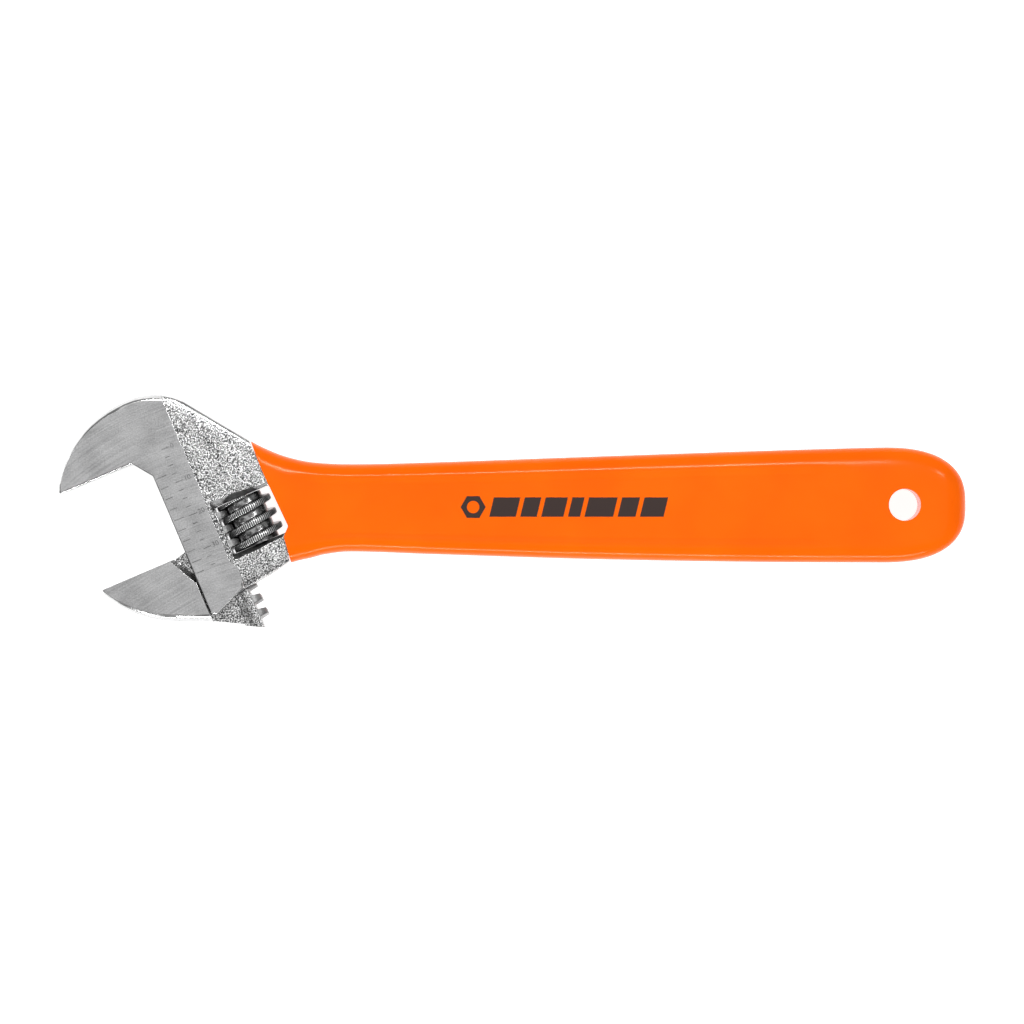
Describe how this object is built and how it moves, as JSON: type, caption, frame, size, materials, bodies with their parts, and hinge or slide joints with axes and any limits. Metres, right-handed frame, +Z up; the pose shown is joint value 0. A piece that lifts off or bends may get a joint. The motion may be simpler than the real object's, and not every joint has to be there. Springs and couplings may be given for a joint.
{
  "type": "adjustable wrench",
  "caption": "Adjustable wrench whose hook jaw slides in the head as its knurl is turned, with a dipped grip and a hang hole in the handle.",
  "frame": {"origin": "under the middle of the wrench's box, on the surface it lies on", "axes": "+X along the handle from the jaws to the hang hole, +Z up through the thickness, fixed jaw on the +Y side"},
  "size_m": [0.254, 0.065, 0.0154],
  "materials": {
    "chromed_steel": "satin ground faces, blasted recesses and bright rolled edges",
    "knurl_steel": "dark oiled steel with knurled crests",
    "pin_steel": "turned",
    "spring_steel": "drawn wire",
    "orange_vinyl": "glossy dipped vinyl"
  },
  "bodies": {
    "frame": {"body": "chromed_steel", "grip": "orange_vinyl", "knurl_pin": "pin_steel", "knurl_spring": "spring_steel"},
    "knurl": {"knurl": "knurl_steel"},
    "jaw": {"movable_jaw": "chromed_steel"}
  },
  "joints": [
    {"name": "knurl_spin", "type": "hinge", "parent": "frame", "child": "knurl", "pos_m": [-0.07342, -0.0025, 0.0077], "axis": [-0.3907, 0.9205, 0], "range_deg": [-2460.3, 86]},
    {"name": "jaw_slide", "type": "slide", "parent": "frame", "child": "jaw", "axis": [0.3907, -0.9205, 0], "range_m": [-0.0287, 0.001]}
  ],
  "couplings": [
    {"joint": "knurl_spin", "follows": "jaw_slide", "rad_per_m": 1496}
  ]
}
